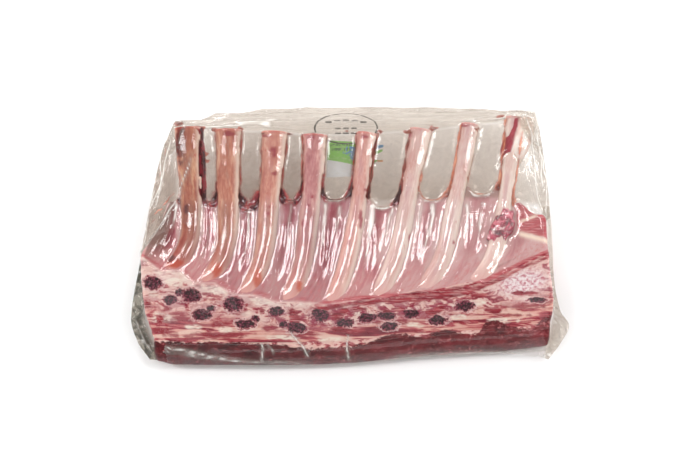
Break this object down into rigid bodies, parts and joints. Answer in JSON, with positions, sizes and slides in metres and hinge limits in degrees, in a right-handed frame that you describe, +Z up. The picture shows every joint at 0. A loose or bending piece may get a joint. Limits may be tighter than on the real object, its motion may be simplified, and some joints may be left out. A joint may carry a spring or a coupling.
{
  "type": "vacuum-packed raw rack of lamb",
  "caption": "Frenched raw rack of lamb lying on its fat side in clear shrink film, inner rib side and sawn chine face up.",
  "frame": {"origin": "middle of the pack's footprint, at the height of the surface that it rests on", "axes": "+X along the rack, +Y from the loin towards the rib tips, +Z up"},
  "size_m": [0.238, 0.1468, 0.043],
  "materials": {
    "film": "clear shrink film, wrinkled, glossy, a little milky where it isn't against the meat",
    "meat": "raw lamb: pink rib interior, streaked chine face, dark red eye muscle, wet",
    "fat": "raw fat, cream to pinkish, waxy",
    "bone": "scraped rib bone, salmon to cream with red streaks, moist",
    "print": "plain fields of printed colour on the film's far side"
  },
  "bodies": {
    "root": {"vacuum_pack": "meat"}
  },
  "joints": []
}
